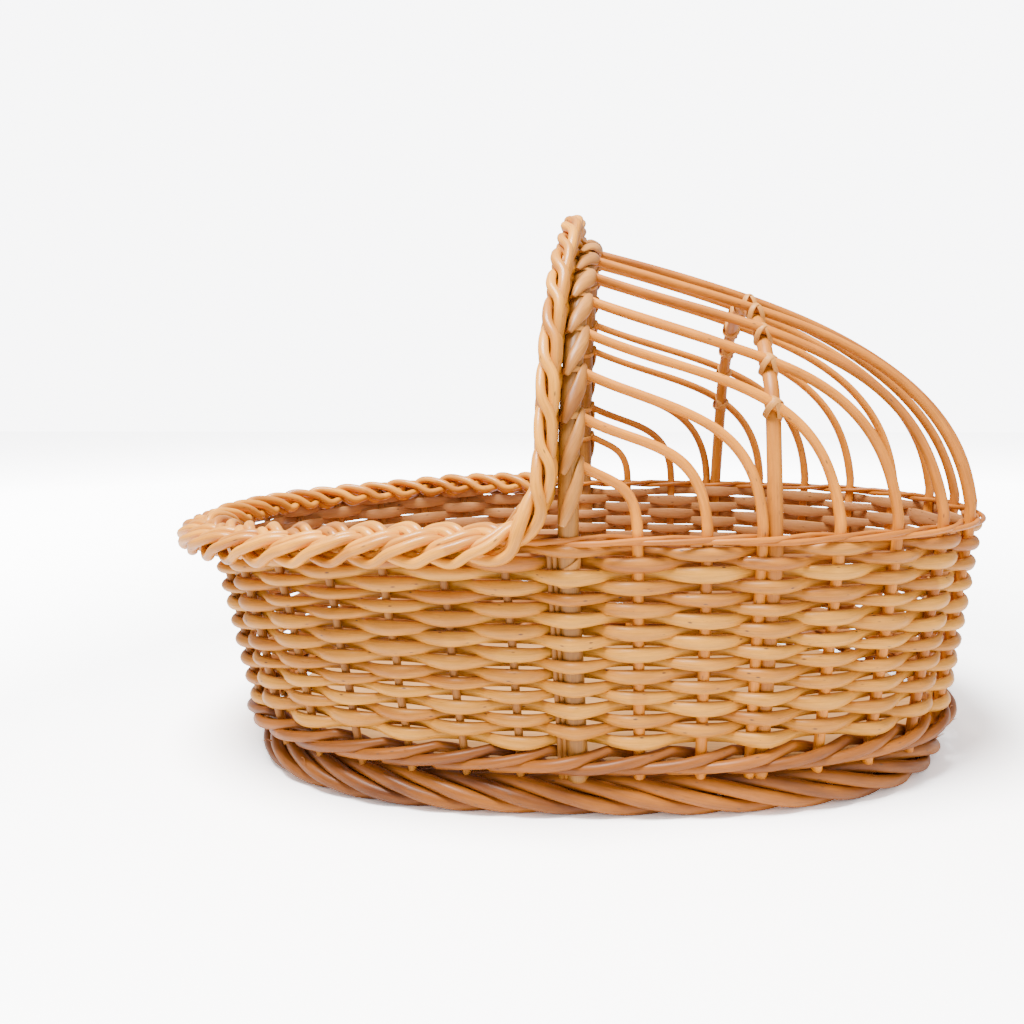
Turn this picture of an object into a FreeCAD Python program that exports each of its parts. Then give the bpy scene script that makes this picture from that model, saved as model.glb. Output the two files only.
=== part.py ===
import FreeCAD, Part
import math
import os

os.makedirs("parts", exist_ok=True)

Vector = FreeCAD.Vector

# overall shape, mm: +X is the hood end, -X the foot end, Z up from the surface it stands on
total_height = 250.0
rim_height = 106.0
rim_head_reach = 179.0
rim_foot_reach = 185.0
rim_half_width = 105.5
base_head_reach = 166.0
base_foot_reach = 167.0
base_half_width = 99.5
oval_power = 2.5
front_hoop_x = -11.0

# uprights
stakes_per_half = 18
stake_radius = 1.75
hood_rod_radius = 1.95
hoop_radius = 4.1
rib_radius = 3.1
rib_station = 6
side_rod_radius = 1.2

# woven wall
row_count = 18
strip_thickness = 2.5
stake_clearance = 0.5
row_gap = 0.22

# foot
border_rod_radius = 2.9
border_turn_per_stake = 75.0
border_rod_stations = 4.3
border_side_inset = 2.4
border_end_inset = 6.6
foot_flat = 0.4
board_thickness = 3.6
board_inset = 7.4
wale_rod_radius = 2.2
wale_rise_per_stake = 3.6

# rim and hood
rim_wale_rod_radius = 1.15
rim_wale_rise_per_stake = 1.1
braid_rod_radius = 2.1
braid_strands = 5
braid_waves = 10
braid_tilt = 20.0
braid_overhang_foot = 1.8
braid_overhang_side = 0.5
hoop_below_braid = 8.0
arch_power = 2.0
arch_lean = 9.5
hood_tuck = 5.0
band_thickness = 0.6
band_width = 7.0
seat = 0.3

# sizes that follow from those above
braid_half_width = 6.0 * braid_rod_radius
braid_lift = 1.52 * braid_rod_radius
arch_braid_half_width = 4.95 * braid_rod_radius
arch_braid_lift = 1.24 * braid_rod_radius
border_roll_radius = border_rod_radius * 1.01 / math.sin(math.radians(border_turn_per_stake) / 2)
border_centre_z = border_roll_radius + border_rod_radius - foot_flat
border_outer_radius = border_roll_radius + border_rod_radius
wale_start = border_centre_z + border_outer_radius + 0.4
weave_start = wale_start + 2 * wale_rod_radius + 2 * wale_rise_per_stake + 0.2

full_count = 2 * stakes_per_half
row_pitch = (rim_height - weave_start) / row_count
wall_inset = stake_radius + stake_clearance + strip_thickness


def unit(v):
    return v * (1.0 / v.Length)


def oval(z, offset=0.0):
    """Centre, half-length and half-width of the line the stakes stand on at height z."""
    share = (z - weave_start) / (rim_height - weave_start)
    head = base_head_reach + share * (rim_head_reach - base_head_reach) - wall_inset + offset
    foot = base_foot_reach + share * (rim_foot_reach - base_foot_reach) - wall_inset + offset
    half_width = base_half_width + share * (rim_half_width - base_half_width) - wall_inset + offset
    return (head - foot) / 2, (head + foot) / 2, half_width


def oval_point(angle, z, offset=0.0):
    centre, half_length, half_width = oval(z)
    power = 2.0 / oval_power
    c = math.cos(angle)
    s = math.sin(angle)
    x = half_length * math.copysign(abs(c) ** power, c)
    y = -half_width * math.copysign(abs(s) ** power, s)
    nx = math.copysign(abs(x / half_length) ** (oval_power - 1), x) / half_length
    ny = math.copysign(abs(y / half_width) ** (oval_power - 1), y) / half_width
    out = unit(Vector(nx, ny, 0))
    return Vector(centre + x, y, z) + out * offset, out


def station_table():
    """Angles of evenly spaced stations round the rim, with one of them at the front hoop."""
    steps = 4000
    angles = [math.pi * i / steps for i in range(steps + 1)]
    points = [oval_point(a, rim_height)[0] for a in angles]
    lengths = [0.0]
    for before, after in zip(points, points[1:]):
        lengths.append(lengths[-1] + before.distanceToPoint(after))
    hoop_at = next(n for n, p in enumerate(points) if p.x <= front_hoop_x)
    half = stakes_per_half / 2
    stations = []
    for length in lengths:
        if length <= lengths[hoop_at]:
            stations.append(half * length / lengths[hoop_at])
        else:
            rest = lengths[-1] - lengths[hoop_at]
            stations.append(half + half * (length - lengths[hoop_at]) / rest)
    return angles, stations


table_angles, table_stations = station_table()


def angle_at(station):
    """Oval angle of a station: 0 is the hood end, then along the -Y side to the foot end."""
    station = station % full_count
    mirrored = station > stakes_per_half
    s = full_count - station if mirrored else station
    low = 0
    high = len(table_stations) - 1
    while high - low > 1:
        middle = (low + high) // 2
        if table_stations[middle] <= s:
            low = middle
        else:
            high = middle
    span = table_stations[high] - table_stations[low]
    share = (s - table_stations[low]) / span if span > 0 else 0.0
    angle = table_angles[low] + share * (table_angles[high] - table_angles[low])
    return -angle if mirrored else angle


def wall_point(station, z, offset=0.0):
    return oval_point(angle_at(station), z, offset)[0]


def wall_frame(station, z):
    """Point on the stake line, outward direction, and direction of rising station."""
    point, out = oval_point(angle_at(station), z)
    return point, out, Vector(out.y, -out.x, 0)


def arc_piece(start, direction, end):
    """Middle point of the arc that leaves start along direction and reaches end."""
    chord = end - start
    along = unit(chord)
    side = direction - along * direction.dot(along)
    if side.Length < 1e-5:
        return None
    turn = math.asin(min(1.0, side.Length))
    return start + chord * 0.5 + unit(side) * (chord.Length * 0.5 * math.tan(turn / 2))


def arc_or_line(start, middle, end):
    if middle is None:
        return Part.makeLine(start, end)
    return Part.Arc(start, middle, end).toShape()


def joint_point(p1, t1, p2, t2):
    """Where two tangent arcs from p1 along t1 and into p2 along t2 meet."""
    v = p2 - p1
    spread = 2 * (1 - t1.dot(t2))
    reach = v.dot(t1 + t2)
    if spread < 1e-9:
        d = v.dot(v) / (4 * v.dot(t2))
    else:
        d = (math.sqrt(reach * reach + spread * v.dot(v)) - reach) / spread
    return (p1 + p2 + (t1 - t2) * d) * 0.5


def arc_chain(points, tangents):
    """A smooth wire of tangent arcs through points."""
    edges = []
    for p1, t1, p2, t2 in zip(points, tangents, points[1:], tangents[1:]):
        joint = joint_point(p1, t1, p2, t2)
        edges.append(arc_or_line(p1, arc_piece(p1, t1, joint), joint))
        edges.append(arc_or_line(joint, arc_piece(p2, t2 * -1, joint), p2))
    return Part.Wire(edges)


def slope_of(path, s, step=0.002):
    return unit(path(s + step) - path(s - step))


def rod(wire, radius):
    """A round rod along a wire."""
    edge = wire.Edges[0]
    start = wire.OrderedVertexes[0].Point
    tangent = edge.tangentAt(edge.FirstParameter)
    if start.distanceToPoint(edge.valueAt(edge.FirstParameter)) > 1e-6:
        tangent = edge.tangentAt(edge.LastParameter)
    section = Part.Wire(Part.makeCircle(radius, start, tangent))
    return wire.makePipeShell([section], True, False)


def rod_on_path(path, first, last, step, radius):
    """A rod along a function of one number, sampled evenly between first and last."""
    count = max(2, int(math.ceil((last - first) / step)))
    places = [first + (last - first) * i / count for i in range(count + 1)]
    points = [path(s) for s in places]
    tangents = [slope_of(path, s) for s in places]
    return rod(arc_chain(points, tangents), radius)


def rod_through(points, radius, first_direction=None, last_direction=None):
    """A rod through points, its direction at each taken from its neighbours."""
    tangents = []
    for n in range(len(points)):
        before = points[max(0, n - 1)]
        after = points[min(len(points) - 1, n + 1)]
        tangents.append(unit(after - before))
    if first_direction is not None:
        tangents[0] = first_direction
    if last_direction is not None:
        tangents[-1] = last_direction
    return rod(arc_chain(points, tangents), radius)


def station_radius(station):
    """Radius of the thickest upright at a station."""
    k = min(station, full_count - station)
    if k == stakes_per_half // 2:
        return hoop_radius
    if k == rib_station:
        return rib_radius + 0.2
    if k < stakes_per_half // 2:
        return hood_rod_radius
    return stake_radius


def ribbon_ring(points, tangents, thickness):
    """Outline face of a flat strip that runs through points in one plane."""
    wires = []
    count = len(points)
    for side in (0.5, -0.5):
        edges = []
        for n in range(count):
            p1, t1 = points[n], tangents[n]
            p2, t2 = points[(n + 1) % count], tangents[(n + 1) % count]
            joint = joint_point(p1, t1, p2, t2)
            edges += offset_arc(p1, t1, joint, side * thickness)
            edges += offset_arc(p2, t2 * -1, joint, -side * thickness)
        wires.append(Part.Wire(Part.__sortEdges__(edges)))
    return Part.makeFace(wires, "Part::FaceMakerBullseye")


def offset_arc(start, direction, end, shift):
    """The arc from start to end, moved sideways by shift, staying parallel."""
    middle = arc_piece(start, direction, end)
    left = Vector(-direction.y, direction.x, 0)
    along = unit(end - start)
    if middle is None:
        return [Part.makeLine(start + left * shift, end + left * shift)]
    end_direction = along * (2 * along.dot(direction)) - direction
    left_end = Vector(-end_direction.y, end_direction.x, 0)
    left_middle = Vector(-along.y, along.x, 0)
    arc = Part.Arc(start + left * shift, middle + left_middle * shift, end + left_end * shift)
    return [arc.toShape()]


def weaver(row):
    """One flattened willow strip, in front of one stake and behind the next."""
    low = weave_start + row * row_pitch
    middle = low + row_pitch / 2
    points = []
    tangents = []
    for k in range(full_count):
        point, out, along = wall_frame(k, middle)
        reach = station_radius(k) + stake_clearance + strip_thickness / 2
        side = 1 if (k + row) % 2 == 0 else -1
        flat = point + out * (side * reach)
        points.append(Vector(flat.x, flat.y, low + row_gap / 2))
        tangents.append(along)
    face = ribbon_ring(points, tangents, strip_thickness)
    return face.extrude(Vector(0, 0, row_pitch - row_gap))


def border_inset(out):
    """How far the middle of the rolled border lies inside the stake line."""
    return border_side_inset + (border_end_inset - border_side_inset) * out.x * out.x


def border_top(outside, out):
    """Height of the rolled border's surface at a distance outside the stake line."""
    from_middle = outside + border_inset(out)
    room = border_outer_radius ** 2 - from_middle ** 2
    return border_centre_z + math.sqrt(max(0.0, room))


def stake_foot(station):
    """Lower end of an upright, seated in the rolled border."""
    out = wall_frame(station, border_centre_z)[1]
    return wall_point(station, border_top(0.0, out) - 4 * seat)


def foot_border():
    """One rod for each stake, rolled round the border and cut flat where it stands."""
    def path_for(first):
        def path(s):
            point, out, along = wall_frame(s, border_centre_z)
            turn = math.radians(150.0 - border_turn_per_stake * (first - s))
            across = border_roll_radius * math.cos(turn) - border_inset(out)
            return point + out * across + Vector(0, 0, border_roll_radius * math.sin(turn))
        return path

    slab = Part.makeBox(600, 600, 20, Vector(-300, -300, -20))
    rods = []
    for k in range(full_count):
        path = path_for(k)
        one = rod_on_path(path, k - border_rod_stations, k, 0.5, border_rod_radius)
        rods.append(one.cut(slab))
    return rods


def radius_between(station):
    """Thickness of upright to pass round, blended between neighbouring stations."""
    low = int(math.floor(station))
    share = station - low
    return station_radius(low) * (1 - share) + station_radius((low + 1) % full_count) * share


def wale_path(start, z_low, rod_radius, rise, clearance):
    """Path of one waling rod: in front of two stakes, rising, then behind one."""
    def path(s):
        phase = (start - s) % 3.0
        station = s % full_count
        inner = radius_between(station) + clearance + rod_radius
        if phase > 2.5:
            phase -= 3.0
        if phase < 0.5:
            drop = 0.5 - phase
            height = rise * 2 * drop
            side = -inner * math.cos(math.pi * phase)
        else:
            height = rise * (phase - 0.5)
            outer = inner + rod_radius * 0.55 * (phase - 0.5) / 2
            side = outer * math.sin(math.pi * (phase - 0.5) / 2)
        point, out, along = wall_frame(station, z_low + rod_radius + height)
        return point + out * side
    return path


def wale(first, last, z_low, rod_radius, rise, clearance):
    """Three rods waled round the stakes from station first to last."""
    rods = []
    for start in range(3):
        path = wale_path(start, z_low, rod_radius, rise, clearance)
        rods.append(rod_on_path(path, first, last, 0.5, rod_radius))
    return rods


def base_board():
    """Flat oval floor, inside the stakes, that rests on the rolled border at both ends."""
    z = border_top(-board_inset, Vector(1, 0, 0)) - seat
    points = []
    tangents = []
    for n in range(36):
        point, out, along = wall_frame(n * full_count / 36.0, z)
        points.append(point - out * board_inset)
        tangents.append(along)
    points.append(points[0])
    tangents.append(tangents[0])
    face = Part.Face(arc_chain(points, tangents))
    return face.extrude(Vector(0, 0, board_thickness))


def plain_stakes():
    """The uprights of the foot half, which end inside the rim braid."""
    half = stakes_per_half // 2
    top = rim_height + braid_lift
    rods = []
    for k in range(half + 1, full_count - half):
        rods.append(rod_through([stake_foot(k), wall_point(k, top)], stake_radius))
    return rods


def arch_point(angle, half_width, base, apex, x):
    """Point of an arch over the basket; 0 is the -Y springing, pi/2 the crown."""
    power = 2.0 / arch_power
    c = math.cos(angle)
    y = -half_width * math.copysign(abs(c) ** power, c)
    z = base + (apex - base) * abs(math.sin(angle)) ** power
    lean = arch_lean * ((z - rim_height) / (total_height - rim_height)) ** 3
    return Vector(x + lean, y, z)


def braid_top_centre():
    return total_height - arch_braid_half_width


def hoop_apex():
    return braid_top_centre() - hoop_below_braid


def hoop_half_width():
    return -wall_point(stakes_per_half / 2, rim_height).y + 1.5


def arch_by_length(half_width, base, apex, x):
    """Points along half an arch with their distance from the crown."""
    steps = 600
    points = [arch_point(math.pi / 2 * (1 - i / steps), half_width, base, apex, x)
              for i in range(steps + 1)]
    lengths = [0.0]
    for before, after in zip(points, points[1:]):
        lengths.append(lengths[-1] + before.distanceToPoint(after))
    return points, lengths


def point_at_length(table, length):
    points, lengths = table
    n = next((i for i, value in enumerate(lengths) if value >= length), len(lengths) - 1)
    return points[n]


def rod_pitch(table):
    """Spacing along the hoop that shares half of it out between the hood rods."""
    return table[1][-1] / (stakes_per_half / 2 + 0.26)


def mirrored(point):
    return Vector(point.x, -point.y, point.z)


def front_hoop():
    """Thick rod: up one side of the wall, over as an arch, and down the other side."""
    half = stakes_per_half / 2
    leg = [stake_foot(half), wall_point(half, rim_height - 6)]
    x = leg[1].x
    arch = [arch_point(a, hoop_half_width(), rim_height + 8, hoop_apex(), x)
            for a in (0.12, 0.35, 0.6, 0.85, 1.1, 1.35)]
    near = leg + arch
    crown = arch_point(math.pi / 2, hoop_half_width(), rim_height + 8, hoop_apex(), x)
    crown.y = 0
    points = near + [crown] + [mirrored(p) for p in reversed(near)]
    lean = unit(leg[1] - leg[0])
    return rod_with_leans(points, lean, hoop_radius)


def rod_with_leans(points, lean, radius):
    """A hoop whose first and last two points are straight legs with a given lean."""
    tangents = [unit(points[min(len(points) - 1, n + 1)] - points[max(0, n - 1)])
                for n in range(len(points))]
    back = Vector(-lean.x, lean.y, -lean.z)
    tangents[0] = lean
    tangents[1] = lean
    tangents[-1] = back
    tangents[-2] = back
    return rod(arc_chain(points, tangents), radius)


def bezier(controls, t):
    a, b, c, d = controls
    u = 1 - t
    return a * (u ** 3) + b * (3 * u * u * t) + c * (3 * u * t * t) + d * (t ** 3)


def hood_rod_station(k):
    """Where a hood rod stands: one of them stands beside the rib hoop."""
    if k != rib_station:
        return float(k)
    spacing = wall_point(k, rim_height).distanceToPoint(wall_point(k + 1, rim_height))
    return k + (rib_radius + hood_rod_radius) / spacing


def hood_rod_controls(k):
    """Curve of hood rod k from the front hoop to the rim, on the -Y side."""
    hoop_x = wall_point(stakes_per_half / 2, rim_height).x
    table = arch_by_length(hoop_half_width(), rim_height + 8, hoop_apex(), hoop_x)
    start = point_at_length(table, rod_pitch(table) * k)
    start = start + Vector(hoop_radius - seat, 0, 0)
    land, out, along = wall_frame(hood_rod_station(k), rim_height + 4)
    reach = start.distanceToPoint(land)
    fall = math.radians(13.0 + 2.1 * k)
    ahead = Vector(math.cos(fall), 0, -math.sin(fall)) * (0.42 * reach)
    leave = start + ahead + Vector(0, 0.3 * (land.y - start.y), 0)
    rise = 0.295 + 0.036 * k
    arrive = land + Vector(0, 0, rise * reach) - out * hood_tuck
    return start, leave, arrive, land


def hood_rod(k):
    start, leave, arrive, land = hood_rod_controls(k)
    curve = [bezier((land, arrive, leave, start), t / 7.0) for t in range(8)]
    station = hood_rod_station(k)
    leg = [stake_foot(station), wall_point(station, rim_height - 4)]
    points = leg + curve
    tangents = [unit(points[min(len(points) - 1, n + 1)] - points[max(0, n - 1)])
                for n in range(len(points))]
    lean = unit(leg[1] - leg[0])
    tangents[0] = lean
    tangents[1] = lean
    tangents[2] = unit(lean + Vector(0, 0, 1))
    tangents[-1] = unit(start - leave)
    return rod(arc_chain(points, tangents), hood_rod_radius)


def hood_rods():
    """Long rods: stakes of the hood half that carry on up and forward to the hoop."""
    rods = [hood_rod(0)]
    for k in range(1, stakes_per_half // 2):
        one = hood_rod(k)
        rods.append(one)
        rods.append(one.mirror(Vector(0, 0, 0), Vector(0, 1, 0)))
    return rods


def crossing(k, x):
    """Where hood rod k passes the rib hoop's plane, and its direction there."""
    start, leave, arrive, land = hood_rod_controls(k)
    controls = (start, leave, arrive, land)
    low = 0.0
    high = 1.0
    for _ in range(40):
        middle = (low + high) / 2
        if bezier(controls, middle).x < x:
            low = middle
        else:
            high = middle
    point = bezier(controls, low)
    ahead = bezier(controls, min(1.0, low + 0.01)) - bezier(controls, low - 0.01)
    return point, unit(ahead)


def rib_x():
    return wall_point(rib_station, rim_height).x + 1.5


def rib_points():
    """Crossing points along the rib hoop's -Y half, from the rim up to the crown."""
    x = rib_x()
    drop = rib_radius + hood_rod_radius - 0.15
    outer = [crossing(k, x)[0] for k in range(rib_station)]
    chain = [mirrored(outer[1])] + outer
    inner = []
    for n in range(1, len(chain)):
        before = chain[n - 1]
        after = chain[min(len(chain) - 1, n + 1)]
        along = unit(after - before)
        inward = Vector(0, -along.z, along.y)
        if inward.z > 0:
            inward = inward * -1
        inner.append(chain[n] + inward * drop)
    return list(reversed(inner))


def rib_hoop():
    """Thinner hoop under the hood rods, its legs woven into the wall."""
    leg = [stake_foot(rib_station), wall_point(rib_station, rim_height - 2)]
    near = leg + rib_points()[:-1]
    crown = rib_points()[-1]
    points = near + [Vector(crown.x, 0, crown.z)] + [mirrored(p) for p in reversed(near)]
    return rod_with_leans(points, unit(leg[1] - leg[0]), rib_radius)


def lashing(centre, out, along, ahead, lean):
    """A loop of split willow that goes over a hood rod and under the rib hoop."""
    cord = 0.8
    across = unit(along + ahead * lean)
    top = hood_rod_radius * 2 + rib_radius - 0.15 + cord - seat
    under = rib_radius + cord - seat
    wide = (rib_radius + cord) * 1.45
    points = [centre + out * top, centre + across * wide + out * (rib_radius * 0.4),
              centre - out * under, centre - across * wide + out * (rib_radius * 0.4)]
    tangents = [across, out * -1, across * -1, out]
    points.append(points[0])
    tangents.append(tangents[0])
    wire = arc_chain(points, tangents)
    return rod(wire, cord)


def rib_lashings():
    """Loops that tie each hood rod to the rib hoop."""
    loops = []
    inner = rib_points()
    for n, centre in enumerate(inner):
        k = len(inner) - 1 - n
        point, ahead = crossing(k, rib_x())
        out = unit(Vector(0, point.y - centre.y, point.z - centre.z))
        along = Vector(0, out.z, -out.y)
        loop = lashing(centre, out, along, ahead, 0.9)
        loops.append(loop)
        if k > 0:
            loops.append(loop.mirror(Vector(0, 0, 0), Vector(0, 1, 0)))
    return loops


def braid_centre_table():
    """Centre line of the braid: foot end, -Y rim, up the hoop, crown, and back."""
    half = stakes_per_half / 2
    rim_z = rim_height + 3.3
    centre_line = []
    steps = 120
    corner = half + 1.35
    for i in range(steps + 1):
        station = stakes_per_half - (stakes_per_half - corner) * i / steps
        share = (station - half) / half
        over = braid_overhang_side + (braid_overhang_foot - braid_overhang_side) * share ** 3
        point, out = oval_point(angle_at(station), rim_height, wall_inset + over)
        centre_line.append((Vector(point.x, point.y, rim_z), out, 1.0))
    arch_x = wall_point(half, rim_height).x - hoop_radius - arch_braid_lift - braid_rod_radius + seat
    wide = hoop_half_width() + 3.6
    arch = []
    for i in range(steps + 1):
        angle = 0.22 + (math.pi / 2 - 0.22) * i / steps
        point = arch_point(angle, wide, rim_height + 8, braid_top_centre(), arch_x)
        ahead = arch_point(angle + 0.001, wide, rim_height + 8, braid_top_centre(), arch_x)
        slope = unit(ahead - point)
        arch.append((point, Vector(0, -slope.z, slope.y), 0.0))
    last, first = centre_line[-1], arch[0]
    run = unit(last[0] - centre_line[-2][0])
    rise = unit(arch[1][0] - first[0])
    gap = last[0].distanceToPoint(first[0])
    controls = (last[0], last[0] + run * (0.42 * gap), first[0] - rise * (0.42 * gap), first[0])
    for i in range(1, 40):
        t = i / 40.0
        out = unit(last[1] * (1 - t) + first[1] * t)
        centre_line.append((bezier(controls, t), out, 1 - t * t * (3 - 2 * t)))
    return centre_line + arch


def braid_frames():
    """The whole closed centre line with its distance along, outward direction and rim share."""
    half = braid_centre_table()
    back = [(mirrored(p), Vector(o.x, -o.y, o.z), w) for p, o, w in reversed(half[1:-1])]
    loop = half + back
    loop.append(half[0])
    lengths = [0.0]
    for before, after in zip(loop, loop[1:]):
        lengths.append(lengths[-1] + before[0].distanceToPoint(after[0]))
    return loop, lengths


braid_loop, braid_lengths = braid_frames()


def braid_frame(distance):
    """Centre, outward and upper directions of the braid at a distance along it."""
    total = braid_lengths[-1]
    distance = distance % total
    low = 0
    high = len(braid_lengths) - 1
    while high - low > 1:
        middle = (low + high) // 2
        if braid_lengths[middle] <= distance:
            low = middle
        else:
            high = middle
    share = (distance - braid_lengths[low]) / (braid_lengths[high] - braid_lengths[low])
    a, b = braid_loop[low], braid_loop[high]
    centre = a[0] * (1 - share) + b[0] * share
    along = unit(b[0] - a[0])
    out = a[1] * (1 - share) + b[1] * share
    out = unit(out - along * out.dot(along))
    upper = out.cross(along)
    return centre, along, out, upper, a[2] * (1 - share) + b[2] * share


def braid_path(strand, side):
    """One rod of a pair in one strand of the flat plait."""
    total = braid_lengths[-1]

    def path(s):
        centre, along, out, upper, rim_share = braid_frame(s)
        phase = 2 * math.pi * (braid_waves * s / total + strand / braid_strands)
        half_width = arch_braid_half_width + rim_share * (braid_half_width - arch_braid_half_width)
        lift = arch_braid_lift + rim_share * (braid_lift - arch_braid_lift)
        swing = half_width - 2 * braid_rod_radius
        across = swing * math.sin(phase)
        slope = swing * math.cos(phase) * 2 * math.pi * braid_waves / total
        up = -lift * math.tanh(1.6 * math.sin(2 * phase)) / math.tanh(1.6)
        turn = 1.0 / math.sqrt(1 + slope * slope)
        shift = side * braid_rod_radius
        tilt = math.radians(braid_tilt) * rim_share
        flat_out = across + shift * turn
        lateral = out * math.cos(tilt) - upper * math.sin(tilt)
        normal = upper * math.cos(tilt) + out * math.sin(tilt)
        return centre + along * (-shift * slope * turn) + lateral * flat_out + normal * up
    return path


def braid_strand(strand):
    """A pair of rods side by side, plaited right round the rim and the hoop."""
    total = braid_lengths[-1]
    count = braid_waves * 4
    rods = []
    for side in (-1, 1):
        path = braid_path(strand, side)
        for first in (0.0, total / 2):
            places = [first + total / 2 * i / count for i in range(count + 1)]
            points = [path(s) for s in places]
            tangents = [unit(path(s + 0.4) - path(s - 0.4)) for s in places]
            rods.append(rod(arc_chain(points, tangents), braid_rod_radius))
    return rods


def turndown(k):
    """End of a hood rod, turned down round the back of the hoop over the next one."""
    hoop_x = wall_point(stakes_per_half / 2, rim_height).x
    table = arch_by_length(hoop_half_width(), rim_height + 8, hoop_apex(), hoop_x)
    radius = hood_rod_radius + 0.5

    def place(length, back, up):
        here = point_at_length(table, length)
        low = point_at_length(table, min(length + 2.0, table[1][-1]))
        along = unit(low - point_at_length(table, max(0.0, length - 2.0)))
        out = unit(Vector(0, along.z, -along.y))
        if out.z < 0 and k == 0:
            out = out * -1
        return here + Vector(back, 0, 0) + out * up

    pitch = rod_pitch(table)
    start = pitch * k
    reach = hoop_radius + radius
    points = [place(start + 0.05 * pitch, reach - seat, 1.2),
              place(start + 0.37 * pitch, reach * 0.82, reach * 0.6),
              place(start + 0.79 * pitch, reach * 0.1, reach * 0.97),
              place(start + 1.21 * pitch, -reach * 0.25, reach * 0.95)]
    return rod_through(points, radius)


def turndowns():
    rods = []
    for k in range(stakes_per_half // 2):
        one = turndown(k)
        rods.append(one)
        rods.append(one.mirror(Vector(0, 0, 0), Vector(0, 1, 0)))
    return rods


def band(station, z, width, radius):
    """A flat ring of split willow round an upright."""
    low = wall_point(station, z)
    lean = unit(wall_point(station, z + 10) - low)
    outer = Part.makeCylinder(radius + band_thickness, width, low, lean)
    return outer.cut(Part.makeCylinder(radius, width, low, lean))


def post_bands():
    """Bands round the front hoop's legs just above the weave."""
    half = stakes_per_half // 2
    bands = []
    for station in (half, full_count - half):
        bands.append(band(station, rim_height + 5.5, band_width, hoop_radius - 0.05))
    return bands


def side_rods():
    """Thin rods packed beside the -Y leg of the front hoop."""
    half = stakes_per_half / 2
    spacing = wall_point(half, rim_height).distanceToPoint(wall_point(half + 1, rim_height))
    rods = []
    for n in range(2):
        beside = hoop_radius + side_rod_radius * (2 * n + 1) + 0.1
        station = half + beside / spacing
        ends = [stake_foot(station), wall_point(station, rim_height + 2)]
        rods.append(rod_through(ends, side_rod_radius))
    return rods


def save(name, solids, shift):
    shape = Part.makeCompound(solids) if len(solids) > 1 else solids[0]
    shape = shape.copy()
    shape.translate(shift)
    shape.exportStep("parts/" + name + ".step")


def collect():
    nodes = {
        "foot_border": foot_border(),
        "foot_wale": wale(0.0, full_count - 0.03, wale_start, wale_rod_radius,
                          wale_rise_per_stake, stake_clearance - 0.1),
        "base_board": [base_board()],
        "stakes": plain_stakes(),
        "hood_rods": hood_rods(),
        "front_hoop": [front_hoop()],
        "rib_hoop": [rib_hoop()],
        "rib_lashings": rib_lashings(),
        "rod_turndowns": turndowns(),
        "post_bands": post_bands(),
        "side_rods": side_rods(),
        "rim_wale": wale(-stakes_per_half / 2 - 1.4, stakes_per_half / 2 + 1.4, rim_height + 0.2,
                         rim_wale_rod_radius, rim_wale_rise_per_stake, 0.3),
    }
    for row in range(row_count):
        nodes["weaver_%02d" % (row + 1)] = [weaver(row)]
    for strand in range(braid_strands):
        nodes["rim_braid_%d" % (strand + 1)] = braid_strand(strand)
    return nodes


def centred_shift(nodes):
    """The move that centres the bounding box; the foot already stands at height 0."""
    box = FreeCAD.BoundBox()
    for solids in nodes.values():
        for solid in solids:
            box.add(solid.optimalBoundingBox(True, False))
    return Vector(-(box.XMin + box.XMax) / 2, -(box.YMin + box.YMax) / 2, 0)


nodes = collect()
shift = centred_shift(nodes)
for name, solids in nodes.items():
    save(name, solids, shift)
    print(name, len(solids), all(s.isValid() for s in solids), round(sum(s.Volume for s in solids)))
print("shift", shift)
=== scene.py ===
import math

import bpy
import numpy as np
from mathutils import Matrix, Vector


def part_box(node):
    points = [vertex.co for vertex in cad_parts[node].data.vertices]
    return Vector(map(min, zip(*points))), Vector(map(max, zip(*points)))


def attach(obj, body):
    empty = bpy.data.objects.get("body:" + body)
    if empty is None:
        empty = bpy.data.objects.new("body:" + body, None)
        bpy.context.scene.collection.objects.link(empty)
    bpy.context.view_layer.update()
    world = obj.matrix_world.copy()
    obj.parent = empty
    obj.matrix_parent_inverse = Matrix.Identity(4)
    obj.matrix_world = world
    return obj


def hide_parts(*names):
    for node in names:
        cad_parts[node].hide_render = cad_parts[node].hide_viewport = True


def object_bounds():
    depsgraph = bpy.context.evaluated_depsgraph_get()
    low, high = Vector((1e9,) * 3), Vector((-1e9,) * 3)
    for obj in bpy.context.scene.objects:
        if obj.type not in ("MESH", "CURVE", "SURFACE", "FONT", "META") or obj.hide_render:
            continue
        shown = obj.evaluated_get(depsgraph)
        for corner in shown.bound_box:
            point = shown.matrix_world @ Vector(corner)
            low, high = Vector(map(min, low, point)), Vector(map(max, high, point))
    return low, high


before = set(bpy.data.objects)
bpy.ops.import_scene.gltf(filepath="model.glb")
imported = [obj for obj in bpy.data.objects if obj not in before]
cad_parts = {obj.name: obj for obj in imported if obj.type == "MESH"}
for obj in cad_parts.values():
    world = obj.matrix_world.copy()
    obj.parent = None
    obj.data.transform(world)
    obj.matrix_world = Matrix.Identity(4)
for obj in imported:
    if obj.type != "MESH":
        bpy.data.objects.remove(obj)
cadBox = [list(corner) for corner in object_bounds()]

print("basket: reading the frame")

# sizes of the whole basket, in mm, in a frame whose x is 0 at the middle of the stakes' oval
basket = {
    "height": (cadBox[1][2] - cadBox[0][2]) * 1000,
    "rimHeight": 106.0,
    "rimHead": 179.0, "rimFoot": 185.0, "rimHalfWidth": 105.5,
    "baseHead": 166.0, "baseFoot": 167.0, "baseHalfWidth": 99.5,
    "weaveStart": 27.2,
    "ovalPower": 2.5,
    "hoopX": -11.0,
    "stakesPerHalf": 18,
    "wallInset": 4.75,
    "footDroop": 5.0,       # how far the foot end of the rim sags
    "droopFrom": 70.0,      # where the sag starts, behind the middle
    "tableSteps": 4001,
    "mm": 0.001,
}
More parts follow.
